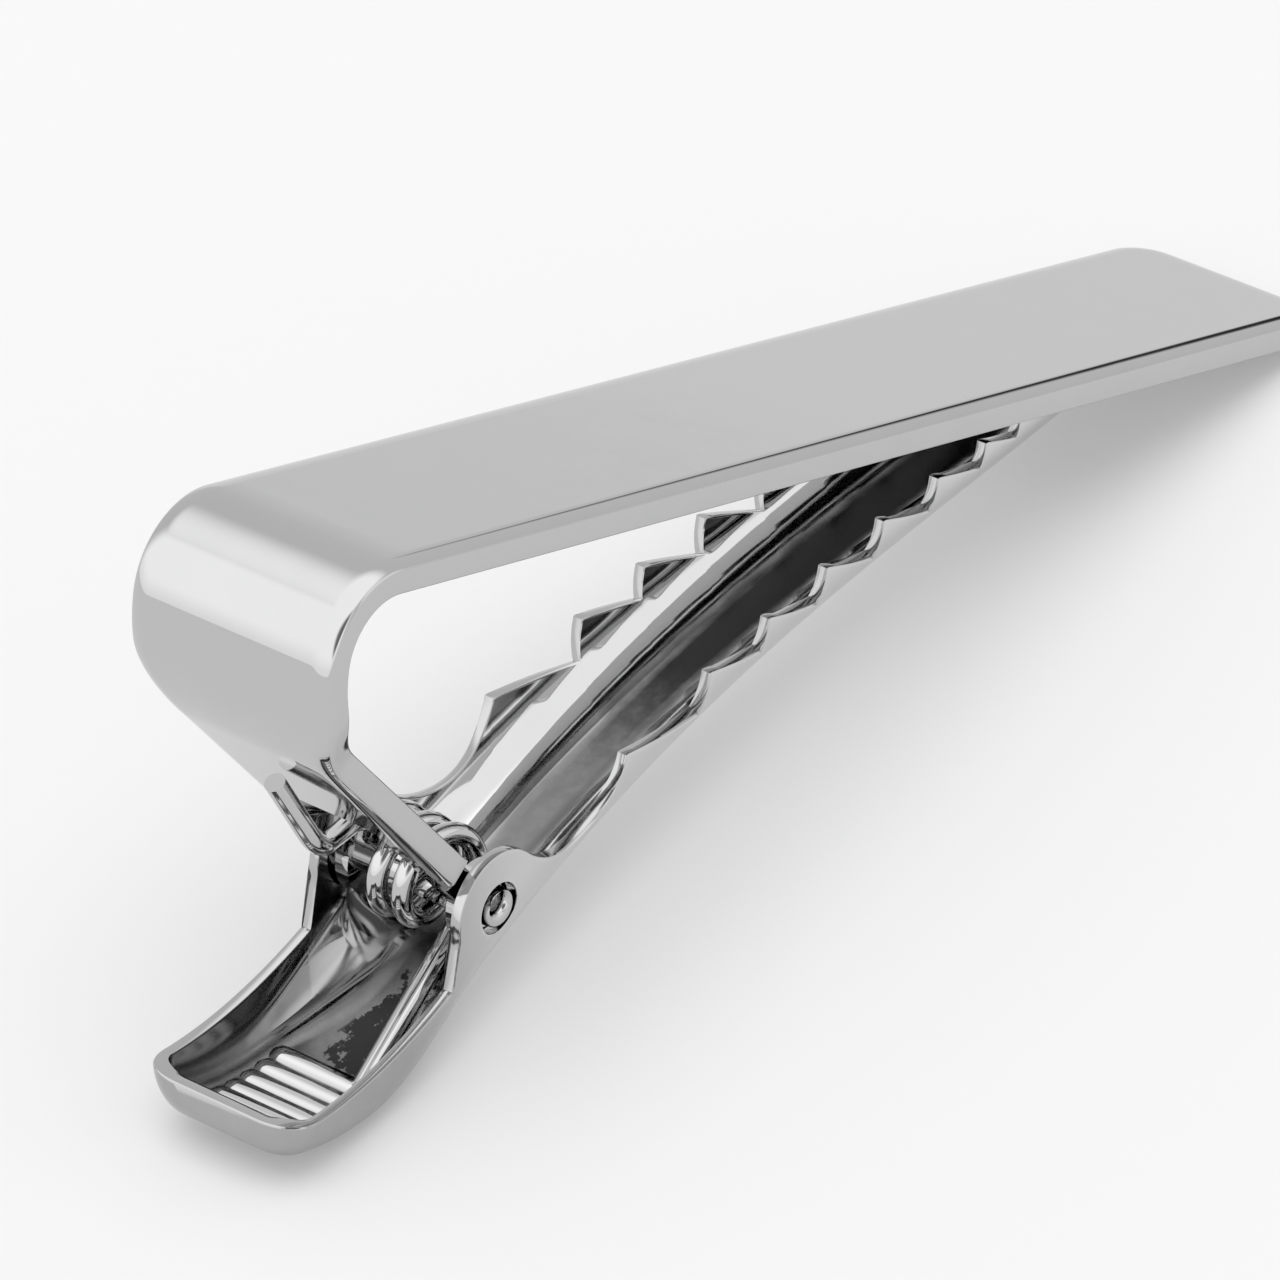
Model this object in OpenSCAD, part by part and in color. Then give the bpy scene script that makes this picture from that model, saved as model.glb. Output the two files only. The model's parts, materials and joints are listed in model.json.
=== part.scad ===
// Sprung tie clip: a folded front bar, a toothed channel jaw, the hinge pin and the torsion spring.
// It is drawn with the bar's face level at z = 0, then stood on the thumb tab and the bar's free end.

/* [Front bar] */
// Length of the bar from the back of the fold to its free end
bar_len = 37.2; // [32:0.1:46]
// Width of the bar
bar_w = 6; // [5.6:0.1:7]
// Thickness of the strip
strip_t = 0.75; // [0.65:0.05:0.85]
// Radius of the free end's corners, seen from above
corner_r = 1.1; // [0.5:0.1:2]
// Width of the rolled-over band along the face's edges
roll_w = 0.5; // [0.3:0.05:0.7]
// Depth of the rolled-over band at the edge
roll_d = 0.16; // [0.08:0.01:0.25]
// Outer radius of the fold's upper quarter
fold_top_r = 2.2; // [1.8:0.1:2.8]
// Outer radius of the fold's lower part
fold_low_r = 3.9; // [3.2:0.1:4.5]

/* [Tail] */
// Slope of the tail below the bar, in degrees
tail_angle = 37.2; // [34:0.1:40]
// Length of the tail from the fold to the hinge axis
tail_len = 8.2; // [7.6:0.1:9]
// Width of the tail
tail_w = 4.9; // [4.7:0.1:5.4]
// Radius of the round ears at the tail's end
tail_ear_r = 1; // [0.9:0.05:1.05]
// Thickness of each tail ear
tail_ear_t = 0.38; // [0.3:0.02:0.42]
// Radius of the corners of the notch that clears the coil
notch_r = 0.6; // [0.3:0.1:1]
// Height of the hinge axis above the tail's outer face
pin_lift = 0.48; // [0.4:0.02:0.6]

/* [Jaw] */
// Length of the jaw from the hinge axis to its tip
jaw_len = 20.3; // [18:0.1:22]
// Outer width of the jaw at the hinge
jaw_w = 4.56; // [4.4:0.02:4.8]
// Outer width of the jaw at its tip
tip_w = 3.6; // [3.2:0.1:4.2]
// Thickness of the jaw's sheet
sheet_t = 0.3; // [0.25:0.05:0.35]
// Depth of the channel's back straight below the hinge axis
hinge_depth = 2.75; // [2.7:0.01:2.9]
// Depth of the channel at the tip
tip_depth = 1.25; // [0.9:0.05:1.5]
// Radius of the ears round the hinge pin
ear_r = 1.4; // [1.3:0.01:1.45]
// Radius of the channel's long edges near the hinge
channel_r = 1.4; // [1.2:0.05:1.45]
// Radius of the channel's long edges at the tip
tip_r = 0.6; // [0.4:0.1:0.9]
// Gap between the closed jaw's tip and the bar
tip_gap = 0.03; // [0.02:0.01:0.08]

/* [Teeth] */
// Distance from the hinge axis to the first tooth
tooth_start = 4.12; // [3.8:0.02:4.4]
// Height of the first tooth's edge above the hinge axis
tooth_base = 2.9; // [2.7:0.1:3.1]
// Radius of the scoop between the ear and the first tooth
scoop_r = 2.2; // [2:0.05:2.25]

/* [Thumb tab] */
// Length of the tab from the hinge axis to its front
tab_len = 6.55; // [6:0.05:7.4]
// Height of the tab's side rim at the front, above the floor there
tab_depth = 0.85; // [0.7:0.05:1.1]
// Radius of the tab's front corners, seen from above
tab_corner_r = 0.9; // [0.7:0.1:1.3]
// Radius of the tab's long edges
tab_edge_r = 0.9; // [0.7:0.05:1.1]
// Number of grip ribs pressed into the tab
rib_count = 6; // [3:1:6]
// Width of one rib
rib_w = 0.34; // [0.26:0.02:0.4]
// Height of one rib above the tab's floor
rib_h = 0.13; // [0.08:0.01:0.17]
// Length of one rib across the tab
rib_len = 2.9; // [2:0.1:3.1]
// Distance between two ribs along the tab
rib_pitch = 0.5; // [0.44:0.01:0.54]

/* [Hinge pin] */
// Diameter of the hinge pin
pin_d = 1; // [0.8:0.05:1.1]
// Running clearance between the pin and the jaw's ears, on the radius
pin_clear = 0.05; // [0.02:0.01:0.08]
// Height of the pin's domed ends
dome_h = 0.2; // [0.1:0.02:0.3]
// Widening of the ear's hole at its mouth, on the radius
sink_w = 0.15; // [0.1:0.01:0.2]
// Gap between the tail's ears and the jaw's ears
side_clear = 0.1; // [0.06:0.01:0.15]

/* [Spring] */
// Diameter of the spring wire
wire_d = 0.5; // [0.4:0.02:0.52]
// Mean radius of the coil
coil_r = 1.1; // [1.05:0.05:1.2]
// Whole turns in the coil
coil_turns = 2; // [1:1:2]
// Gap between the coil and the tail's ears
coil_clear = 0.07; // [0.05:0.01:0.12]
// Gap between the spring's legs and the sheet that they rest on
leg_clear = 0.05; // [0.03:0.01:0.1]
// Distance from the fold to the end of the leg under the tail
tail_leg_at = 1.3; // [0.8:0.1:2]
// Distance from the hinge axis to the end of the leg in the tab
tab_leg_at = 3.3; // [2.8:0.1:3.8]
// Radius of the leg's bends
leg_bend = 0.7; // [0.4:0.1:0.8]

/* [Hidden] */
$fn = 48;

// Overrun of every cutting shape past the faces that it cuts
over = bar_w;

// Where the tail starts and stops narrowing, and the narrowed width's curve in steps, of its length
narrow_shares = [-0.28, 0.03];
narrow_steps = 6;
// Where the wide part ends and the neck begins, before the hinge axis, of the tail ear's radius
neck_shares = [2.3, 1.6];
// Where the notch begins, of the tail's length
notch_share = 0.43;
// Height over the tail that the narrowing cuts, of the fold's lower radius
trim_share = 0.65;
// Rise of the jaw's back between the hinge and the tip: its two curve terms
back_shares = [0.7, 0.45];
// Rise of the line of the teeth's edges above a straight one
tooth_bow_share = 0.4;
// Places of the teeth along the toothed length, and the fall of each tooth's long edge, of the sheet
tooth_shares = [0, 0.176, 0.302, 0.428, 0.554, 0.677, 0.787, 0.867, 0.95];
fall_shares = [-1.2, -0.3, 0.3, 0.7, 0.6, 0.3, 0.4, 0];
// Lowest place of the tab's floor, of the tab's length
belly_share = 0.82;
// Share of the tab rim's rise that its curve adds towards the hinge
rim_curve_share = 0.69;
// Corner between the tab's rim and the ear, before and below the hinge axis, of the ear's radius
rim_end_shares = [0.93, 1.29];
// Rise of the scoop's lower edge beside the first tooth, of the sheet
scoop_share = 0.5;
// Rise of the tab's floor under its front lip, of the rim's height there
lip_share = 0.55;
// Height of the channel walls before they are cut to the outline, of the ear's radius
wall_share = 3.3;
// Place of the first rib, of the tab's length
first_rib_share = 0.42;
// How far the coil hangs back from the pin, of the play between them, and its rise
slack_shares = [0.6, 0.65];
// Where the leg under the tail bends, of the tail's length, and its depth there, of the wire
bend_shares = [0.5, 1.5];
// Sideways place of that leg, of half the tail's width
leg_side_share = 0.04;
// Straight run of that leg beside the coil, of the coil's radius
run_share = 1.5;
// Direction in which the other leg lies in the tab's corner, in degrees below level
corner_lie = 45;

// The fold, and the frame of the tail that hangs from it
tail_dir = [cos(tail_angle), -sin(tail_angle)];
tail_up = [sin(tail_angle), cos(tail_angle)];
tail_start = [fold_low_r, -fold_top_r] - fold_low_r * tail_up;
pin_at = on_tail(tail_len, pin_lift);
pin_r = pin_d / 2;
neck_y = jaw_w / 2 - sheet_t - side_clear;
notch_y = neck_y - tail_ear_t;

// Heights of the jaw, measured from the hinge axis with the clip closed
tip_rim = -strip_t - tip_gap - pin_at[1];
back_rise = tip_rim - tip_depth + hinge_depth;
back_slope = (1 + back_shares[0]) * back_rise / jaw_len;
tooth_len = jaw_len - tooth_start;
tooth_rise = tip_rim - tooth_base;
tab_rim = tab_floor(-tab_len) + tab_depth;
rim_end = [-rim_end_shares[0] * ear_r, -rim_end_shares[1] * ear_r];
scoop_lift = scoop_share * sheet_t;
scoop_at = [tooth_start - sqrt(pow(scoop_r, 2) - pow(scoop_lift, 2)), tooth_base + scoop_lift];

function on_tail(s, lift) = tail_start + s * tail_dir + lift * tail_up;
function mix(a, b, t) = a + (b - a) * t;
function ease(t) = t <= 0 ? 0 : t >= 1 ? 1 : t * t * (3 - 2 * t);
function unit(v) = v / norm(v);

// Front bar: the strip's cross-section, rolled over along both edges of its face
module strip_section() {
    polygon([[-bar_w / 2, -roll_d], [roll_w - bar_w / 2, 0], [bar_w / 2 - roll_w, 0], [bar_w / 2, -roll_d],
        [bar_w / 2, -strip_t], [-bar_w / 2, -strip_t]]);
}

module straight_strip(length) {
    rotate([90, 0, 90]) linear_extrude(height = length) strip_section();
}

module bent_strip(radius, from, angle) {
    translate([radius, 0, -fold_top_r]) rotate([90, 0, 0]) rotate([0, 0, from])
        rotate_extrude(angle = angle) translate([radius, 0]) rotate(-90) strip_section();
}

module on_tail_frame() {
    translate([tail_start[0], 0, tail_start[1]]) rotate([0, tail_angle, 0]) children();
}

module both_sides() {
    children();
    mirror([0, 1, 0]) children();
}

// Rounds one corner of the bar's free end
module end_corner_cut() {
    translate([bar_len - corner_r, bar_w / 2 - corner_r, -over])
        linear_extrude(height = 2 * over) difference() {
            square(over);
            circle(corner_r);
        }
}

// What is cut from one side to narrow the tail, then to form the neck between the jaw's ears
module tail_side_cut() {
    start = narrow_shares[0] * tail_len;
    stop = narrow_shares[1] * tail_len;
    curve = [for (i = [0 : narrow_steps]) let (t = i / narrow_steps) [mix(start, stop, t), mix(bar_w, tail_w, ease(t)) / 2]];
    translate([0, 0, -over]) linear_extrude(height = over + trim_share * fold_low_r)
        polygon(concat(curve, [[tail_len - neck_shares[0] * tail_ear_r, tail_w / 2],
            [tail_len - neck_shares[1] * tail_ear_r, neck_y], [tail_len + over, neck_y],
            [tail_len + over, bar_w / 2 + over], [start, bar_w / 2 + over]]));
}

// The notch that the spring's coil sits in
module notch_cut() {
    start = notch_share * tail_len;
    translate([0, 0, -over]) linear_extrude(height = over + trim_share * fold_low_r) {
        translate([start + notch_r, -notch_y]) square([tail_len + over, 2 * notch_y]);
        translate([start, notch_r - notch_y]) square([2 * notch_r, 2 * (notch_y - notch_r)]);
        for (side = [-1, 1]) translate([start + notch_r, side * (notch_y - notch_r)]) circle(notch_r);
    }
}

module front_bar() {
    color("silver") difference() {
        union() {
            difference() {
                union() {
                    translate([fold_top_r, 0, 0]) straight_strip(bar_len - fold_top_r);
                    bent_strip(fold_top_r, 90, 90);
                    bent_strip(fold_low_r, 180, 90 - tail_angle);
                    on_tail_frame() mirror([0, 0, 1]) straight_strip(tail_len);
                }
                both_sides() end_corner_cut();
                on_tail_frame() {
                    both_sides() tail_side_cut();
                    notch_cut();
                }
            }
            on_hinge() both_sides() translate([0, notch_y + tail_ear_t, 0])
                rotate([90, 0, 0]) cylinder(r = tail_ear_r, h = tail_ear_t);
        }
        on_hinge() across(2 * bar_w) circle(pin_r);
    }
}

// Jaw: height of its back along its length, measured from the hinge axis
function tab_floor(x) = -hinge_depth + back_slope * (x + x * x / (2 * belly_share * tab_len));
function jaw_back(q) = q + q * (1 - q) * (back_shares[0] - back_shares[1] * q);
function floor_z(x) = x < 0 ? tab_floor(x) : -hinge_depth + back_rise * jaw_back(x / jaw_len);
function floor_slope(x) = (floor_z(x + sheet_t) - floor_z(x - sheet_t)) / (2 * sheet_t);
function stretch(x) = norm([1, floor_slope(x)]);
function half_w(x) = jaw_w / 2 + (tip_w - jaw_w) / 2 * x / jaw_len;
function edge_r(x) = x < 0 ? mix(channel_r, tab_edge_r, ease(-2 * x / tab_len)) : mix(channel_r, tip_r, x / jaw_len);
function tooth_line(q) = tooth_base + tooth_rise * (q + q * (1 - q) * tooth_bow_share);

// Share of its full size that the dished front has reached at a distance behind its lip
function front_ease(a, r) = a >= r ? 1 : sqrt(1 - pow(1 - max(a, 0) / r, 2));
function ring_half_w(x, inset) =
    let (r = tab_corner_r - inset)
    half_w(x) - inset - r * (1 - front_ease(x + tab_len - inset, r));
function ring_floor(x, inset) =
    floor_z(x) + inset * stretch(x)
    + lip_share * tab_depth * (1 - front_ease(x + tab_len - inset, tab_corner_r - inset));

// One U-shaped ring across the jaw, from the top of one wall, down and up to the top of the other
corner_steps = 6;
ring_points = 2 * corner_steps + 4;
function ring(x, inset) =
    let (w = ring_half_w(x, inset), r = min(max(edge_r(x) - inset, inset), w), z = ring_floor(x, inset),
         top = floor_z(x) + wall_share * ear_r,
         side = [for (i = [0 : corner_steps]) let (a = 90 * i / corner_steps)
             [w - r + r * cos(a), z + r * stretch(x) * (1 - sin(a))]])
    concat([[x, -w, top]], [for (p = side) [x, -p[0], p[1]]],
           [for (i = [corner_steps : -1 : 0]) [x, side[i][0], side[i][1]]], [[x, w, top]]);

front_steps = 6;
tab_steps = 9;
jaw_steps = 14;
stations = concat(
    [for (i = [0 : front_steps]) -tab_len + tab_corner_r * (1 - cos(90 * i / front_steps))],
    [for (i = [1 : tab_steps]) mix(tab_corner_r - tab_len, 0, i / tab_steps)],
    [for (i = [1 : jaw_steps]) jaw_len * i / jaw_steps]);
last = len(stations) - 1;

// The channel and its dished front as one shell, with walls taller than the finished ones
module channel_shell() {
    outer = [for (x = stations) each ring(x, 0)];
    inner = [for (i = [0 : last]) each ring(stations[i] + sheet_t * (1 - i / last), sheet_t)];
    n = ring_points;
    m = len(outer);
    sides = [for (i = [0 : last - 1], j = [0 : n - 2]) let (a = i * n + j, b = a + n)
        each [[a, b + 1, a + 1], [a, b, b + 1], [m + a, m + a + 1, m + b + 1], [m + a, m + b + 1, m + b]]];
    rims = [for (i = [0 : last - 1]) let (a = i * n, b = a + n, c = a + n - 1, d = c + n)
        each [[a, m + b, b], [a, m + a, m + b], [c, d, m + d], [c, m + d, m + c]]];
    front = [for (j = [1 : n - 2]) each [[0, j, j + 1], [m, m + j + 1, m + j]]];
    front_top = [[0, m + n - 1, m], [0, n - 1, m + n - 1]];
    e = last * n;
    tip = [for (j = [0 : n - 2]) each [[e + j, m + e + j + 1, e + j + 1], [e + j, m + e + j, m + e + j + 1]]];
    polyhedron(points = concat(outer, inner), faces = concat(sides, rims, front, front_top, tip));
}

// Side outline that the walls are cut to: tab rim, round ear, scoop and stepped teeth
module jaw_outline() {
    rim = [for (i = [0 : tab_steps]) let (q = i / tab_steps)
        [mix(-tab_len, rim_end[0], q), mix(tab_rim, rim_end[1], mix(1, q, rim_curve_share) * q)]];
    teeth = [for (i = [0 : len(tooth_shares) - 2])
        each [[tooth_start + tooth_shares[i] * tooth_len, tooth_line(tooth_shares[i])],
              [tooth_start + tooth_shares[i + 1] * tooth_len, tooth_line(tooth_shares[i]) - fall_shares[i] * sheet_t]]];
    tip_share = tooth_shares[len(tooth_shares) - 1];
    difference() {
        union() {
            polygon(concat([[-tab_len - over, -tab_len - over], [-tab_len - over, tab_rim]], rim,
                [[rim_end[0], 0], ear_r * unit(scoop_at)], teeth,
                [[tooth_start + tip_share * tooth_len, tooth_line(tip_share)], [jaw_len, tip_rim],
                 [jaw_len + over, tip_rim], [jaw_len + over, -tab_len - over]]));
            circle(ear_r);
        }
        translate(scoop_at) circle(scoop_r);
    }
}

module across(width) {
    rotate([90, 0, 0]) linear_extrude(height = width, center = true) children();
}

module on_hinge() {
    translate([pin_at[0], 0, pin_at[1]]) children();
}

// One round-ended rib, sunk into the tab's floor
module rib() {
    run = rib_len / 2 - rib_w / 2;
    across(2 * run) circle(rib_w / 2);
    both_sides() translate([0, run, 0]) sphere(rib_w / 2);
}

module tab_ribs() {
    for (i = [0 : rib_count - 1]) {
        x = -first_rib_share * tab_len - i * rib_pitch;
        translate([x, 0, floor_z(x) + (sheet_t + rib_h - rib_w / 2) * stretch(x)]) rib();
    }
}

module jaw() {
    color("silver") on_hinge() {
        difference() {
            intersection() {
                channel_shell();
                across(2 * bar_w) jaw_outline();
            }
            across(2 * bar_w) circle(pin_r + pin_clear);
            both_sides() translate([0, half_w(0) + over, 0]) rotate([90, 0, 0])
                cylinder(r1 = pin_r + pin_clear + sink_w + over, r2 = pin_r + pin_clear, h = sink_w + over);
        }
        tab_ribs();
    }
}

// Hinge pin: a plain rod with domed ends, pressed into the tail's ears
module hinge_pin() {
    dome_r = (pin_r * pin_r + dome_h * dome_h) / (2 * dome_h);
    body = half_w(0) - sink_w;
    color("gainsboro") on_hinge() {
        across(2 * body) circle(pin_r);
        both_sides() intersection() {
            translate([0, body + dome_h, 0]) rotate([90, 0, 0]) cylinder(r = pin_r, h = body);
            translate([0, body + dome_h - dome_r, 0]) sphere(dome_r);
        }
    }
}

// Spring: the path of its wire, from the end under the tail to the end in the tab
coil_play = coil_r - wire_d / 2 - pin_r;
coil_at = pin_at + [-slack_shares[0] * coil_play, slack_shares[1] * coil_play];
tail_leg_end = on_tail(tail_leg_at, -wire_d / 2 - leg_clear);
tail_leg_bend = on_tail(bend_shares[0] * tail_len, -bend_shares[1] * wire_d);
lie_r = edge_r(-tab_leg_at) - sheet_t - wire_d / 2 - leg_clear;
lie_y = half_w(-tab_leg_at) - edge_r(-tab_leg_at) + lie_r * cos(corner_lie);
tab_leg_end = pin_at + [-tab_leg_at, floor_z(-tab_leg_at)
    + (edge_r(-tab_leg_at) - lie_r * sin(corner_lie)) * stretch(-tab_leg_at)];

// Angle on the coil where a straight leg to a point touches it, on one side or the other
function touch_angle(point, side) =
    let (d = point - coil_at)
    atan2(d[1], d[0]) + side * acos(coil_r / norm(d));
first_angle = touch_angle(tail_leg_bend, -1);
last_angle = touch_angle(tab_leg_end, 1);
sweep = 360 * coil_turns + first_angle - last_angle;
coil_half = notch_y - coil_clear - wire_d / 2;

function lift_to(point, y) = [point[0], y, point[1]];
function on_coil(t) =
    let (a = first_angle - sweep * t)
    lift_to(coil_at + coil_r * [cos(a), sin(a)], coil_half * (1 - 2 * t));

// A bend between two straight runs, as a short curve through five places
bend_steps = 5;
function bend(a, b, c) =
    let (p = b + leg_bend * unit(a - b), q = b + leg_bend * unit(c - b))
    [for (i = [0 : bend_steps]) let (t = i / bend_steps) mix(mix(p, b, t), mix(b, q, t), t)];

loop_rings = 24;
coil_rings = ceil(loop_rings * sweep / 360);
run_end = lift_to(coil_at + coil_r * [cos(first_angle), sin(first_angle)]
    + run_share * coil_r * [-sin(first_angle), cos(first_angle)], coil_half);
leg_a = lift_to(tail_leg_end, leg_side_share * tail_w / 2);
bend_a = lift_to(tail_leg_bend, leg_side_share * tail_w / 2);
leg_b = lift_to(tab_leg_end, -lie_y);
wire_path = concat([leg_a], bend(leg_a, bend_a, run_end), [run_end],
    [for (i = [0 : coil_rings]) on_coil(i / coil_rings)], [leg_b]);

// Least gap from the wire to itself, between places more than half a turn apart
path_last = len(wire_path) - 1;
apart = loop_rings / 2;
least_gap = min([for (i = [0 : path_last - apart], j = [i + apart : path_last]) norm(wire_path[i] - wire_path[j])]) - wire_d;
echo(spring_turns = sweep / 360, least_gap_of_the_spring_to_itself = least_gap);

// A six-sided tube along the path, as one unbroken solid
module wire_tube(path, radius) {
    sides = 6;
    n = len(path);
    heading = [for (i = [0 : n - 1]) unit(path[min(i + 1, n - 1)] - path[max(i - 1, 0)])];
    points = [for (i = [0 : n - 1])
        let (u = unit(cross(heading[i], [0, 1, 0])), v = cross(heading[i], u))
        each [for (k = [0 : sides - 1]) path[i] + radius * (cos(360 * k / sides) * u + sin(360 * k / sides) * v)]];
    skin = [for (i = [0 : n - 2], k = [0 : sides - 1])
        let (a = i * sides + k, b = i * sides + (k + 1) % sides)
        each [[a, b + sides, b], [a, a + sides, b + sides]]];
    start = [for (k = [1 : sides - 2]) [0, k, k + 1]];
    end = [for (k = [1 : sides - 2]) let (e = (n - 1) * sides) [e, e + k + 1, e + k]];
    polyhedron(points = points, faces = concat(skin, start, end));
}

module spring() {
    color("gainsboro") wire_tube(wire_path, wire_d / 2);
}

// Standing place: the clip rests on the belly of its tab and on the bar's free end
back_points = [for (x = stations) pin_at + [x, ring_floor(x, 0)]];
rest_tilt = max([for (p = back_points) atan2(-strip_t - p[1], bar_len - p[0])]);
left = min([for (p = back_points) p[0] * cos(rest_tilt) + p[1] * sin(rest_tilt)]);
right = bar_len * cos(rest_tilt);
ground = -bar_len * sin(rest_tilt) - strip_t * cos(rest_tilt);
echo(rest_tilt = rest_tilt, origin_in_bar_frame = [(left + right) / 2, ground], pin_at = pin_at);

module standing() {
    translate([-(left + right) / 2, 0, -ground]) rotate([0, rest_tilt, 0]) children();
}

standing() front_bar();
standing() jaw();
standing() hinge_pin();
standing() spring();
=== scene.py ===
import bmesh
import bpy
import json
from math import acos, asin, atan2, ceil, cos, hypot, pi, radians, sin, sqrt
from mathutils import Matrix, Vector


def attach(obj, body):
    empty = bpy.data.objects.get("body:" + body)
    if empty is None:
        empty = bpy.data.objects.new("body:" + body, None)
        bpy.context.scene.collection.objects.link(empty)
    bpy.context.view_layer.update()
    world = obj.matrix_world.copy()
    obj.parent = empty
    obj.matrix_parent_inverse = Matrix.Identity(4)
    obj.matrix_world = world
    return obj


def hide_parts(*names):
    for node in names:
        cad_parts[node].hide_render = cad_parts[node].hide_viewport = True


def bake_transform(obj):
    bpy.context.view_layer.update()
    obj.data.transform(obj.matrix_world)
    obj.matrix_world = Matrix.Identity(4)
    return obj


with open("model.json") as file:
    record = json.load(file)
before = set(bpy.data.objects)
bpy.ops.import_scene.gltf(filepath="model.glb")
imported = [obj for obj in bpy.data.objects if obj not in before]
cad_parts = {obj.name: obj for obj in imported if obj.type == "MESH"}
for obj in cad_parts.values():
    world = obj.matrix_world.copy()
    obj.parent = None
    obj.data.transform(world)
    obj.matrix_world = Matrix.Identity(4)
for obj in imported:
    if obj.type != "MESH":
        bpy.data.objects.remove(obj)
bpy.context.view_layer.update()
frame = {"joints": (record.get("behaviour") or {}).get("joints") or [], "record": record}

# Front bar: one strip of spring-hard steel, blanked flat, polished and chromed. Its face is rolled
# over along both edges, its left end is folded back under itself, and the tail that runs down to the
# hinge is narrower, with a notch for the spring's coil and two ears that hold the pin.
BAR_LEN = 37.2
BAR_W = 6.0
STRIP_T = 0.75
CORNER_R = 1.1
ROLL_W = 0.5
ROLL_D = 0.13
EDGE_R = 0.09
FOLD_TOP_R = 2.2
FOLD_LOW_R = 3.9
NARROW_FROM = -2.3
NARROW_TO = 0.25
TAIL_SLOPE = radians(37.2)
TAIL_LEN = 8.2
TAIL_W = 4.9
NECK_FROM = 5.9
NECK_TO = 6.6
NECK_Y = 1.88
NECK_EDGE_R = 0.03
EAR_T = 0.38
EAR_R = 1.0
PIN_LIFT = 0.48
NOTCH_AT = 3.53
NOTCH_R = 0.6
NOTCH_Y = NECK_Y - EAR_T
BAR_CREASE = radians(38)

# Sizes are in millimetres along the bar, across it and above its face, from the fold's outermost line
MM = 0.001
FACE_MARK = 18.0  # how far along the bar the place of its mount lies
bar_face = next(m for m in frame["record"]["mounts"] if m["name"] == "bar_face")
face_up = Vector(bar_face["axis"])
face_along = Vector((0, 1, 0)).cross(face_up)
turn = Matrix((face_along, (0, 1, 0), face_up)).transposed()
fold_line = Vector(bar_face["pos_m"]) - face_along * FACE_MARK * MM
stand = Matrix.Translation(fold_line) @ turn.to_4x4() @ Matrix.Scale(MM, 4)
hinge = stand.inverted() @ Vector(frame["joints"][0]["pos_m"])

low_arc = FOLD_LOW_R * (pi / 2 - TAIL_SLOPE)
top_arc = FOLD_TOP_R * pi / 2
strip_end = -(BAR_LEN - FOLD_TOP_R + top_arc + low_arc)
tail_dir = Vector((cos(TAIL_SLOPE), 0, -sin(TAIL_SLOPE)))
tail_in = Vector((sin(TAIL_SLOPE), 0, cos(TAIL_SLOPE)))
tail_start = Vector((FOLD_LOW_R, 0, -FOLD_TOP_R)) - FOLD_LOW_R * tail_in


def ease(t):
    t = min(max(t, 0.0), 1.0)
    return t * t * (3 - 2 * t)


def mix(a, b, t):
    return a + (b - a) * t


def spread(a, b, count):
    """Evenly spaced values from a to b, without b."""
    return [mix(a, b, i / count) for i in range(count)]


def on_strip(s, y, depth):
    """A place on the folded strip: s along its outer face from the tail's start, depth into the metal."""
    if s >= 0:
        place = tail_start + s * tail_dir + depth * tail_in
    elif s > -low_arc:
        a = pi / 2 - TAIL_SLOPE + s / FOLD_LOW_R
        centre = Vector((FOLD_LOW_R, 0, -FOLD_TOP_R))
        place = centre + (FOLD_LOW_R - depth) * Vector((-cos(a), 0, -sin(a)))
    elif s > -low_arc - top_arc:
        a = -(s + low_arc) / FOLD_TOP_R
        centre = Vector((FOLD_TOP_R, 0, -FOLD_TOP_R))
        place = centre + (FOLD_TOP_R - depth) * Vector((-cos(a), 0, sin(a)))
    else:
        place = Vector((FOLD_TOP_R - s - low_arc - top_arc, 0, -depth))
    return Vector((place.x, y, place.z))


def neck_share(s):
    """How far the tail has narrowed from its full width to its ears."""
    return ease((s - NECK_FROM) / (NECK_TO - NECK_FROM))


def strip_half_w(s):
    corner = min(s - strip_end, CORNER_R)
    rounded = CORNER_R - sqrt(max(CORNER_R ** 2 - (CORNER_R - corner) ** 2, 0))
    narrowed = mix(BAR_W, TAIL_W, ease((s - NARROW_FROM) / (NARROW_TO - NARROW_FROM))) / 2
    neck = mix(0, TAIL_W / 2 - NECK_Y, neck_share(s))
    return narrowed - rounded - neck


def notch_half_w(s):
    if s < NOTCH_AT:
        return NOTCH_Y
    corner = min(s - NOTCH_AT, NOTCH_R)
    return NOTCH_Y - (NOTCH_R - sqrt(max(NOTCH_R ** 2 - (NOTCH_R - corner) ** 2, 0)))


def edge_distance(s, y):
    """Distance from a place on the strip to the outline of its sides and free end."""
    across = strip_half_w(s) - abs(y)
    along = s - strip_end
    if along >= CORNER_R:
        return max(across, 0)
    side = BAR_W / 2 - abs(y)
    if side < CORNER_R:
        return max(CORNER_R - hypot(CORNER_R - along, CORNER_R - side), 0)
    return along


def edge_drop(distance, roll, fillet):
    """How far the face has dropped near its edge: a soft roll and then a small fillet."""
    soft = roll * max(1 - distance / ROLL_W, 0) ** 2
    inset = max(fillet - distance, 0)
    return soft + fillet - sqrt(fillet ** 2 - inset ** 2)


def tagged_grid(rows, columns):
    """A flat sheet whose corners remember their row and column."""
    bm = bmesh.new()
    bmesh.ops.create_grid(bm, x_segments=rows - 1, y_segments=columns - 1, size=1)
    row = bm.verts.layers.int.new("row")
    column = bm.verts.layers.int.new("column")
    for v in bm.verts:
        v[row] = round((v.co.x + 1) / 2 * (rows - 1))
        v[column] = round((v.co.y + 1) / 2 * (columns - 1))
    return bm, row, column


def new_verts(made):
    """The corners among what a bmesh operator has made."""
    return {v for v in made if isinstance(v, bmesh.types.BMVert)}


def make_object(name, bm, matrix):
    """Turns a finished mesh into an object whose place is in its mesh."""
    bm.transform(matrix)
    mesh = bpy.data.meshes.new(name)
    bm.to_mesh(mesh)
    bm.free()
    mesh.shade_smooth()
    obj = bpy.data.objects.new(name, mesh)
    bpy.context.scene.collection.objects.link(obj)
    return obj


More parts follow.
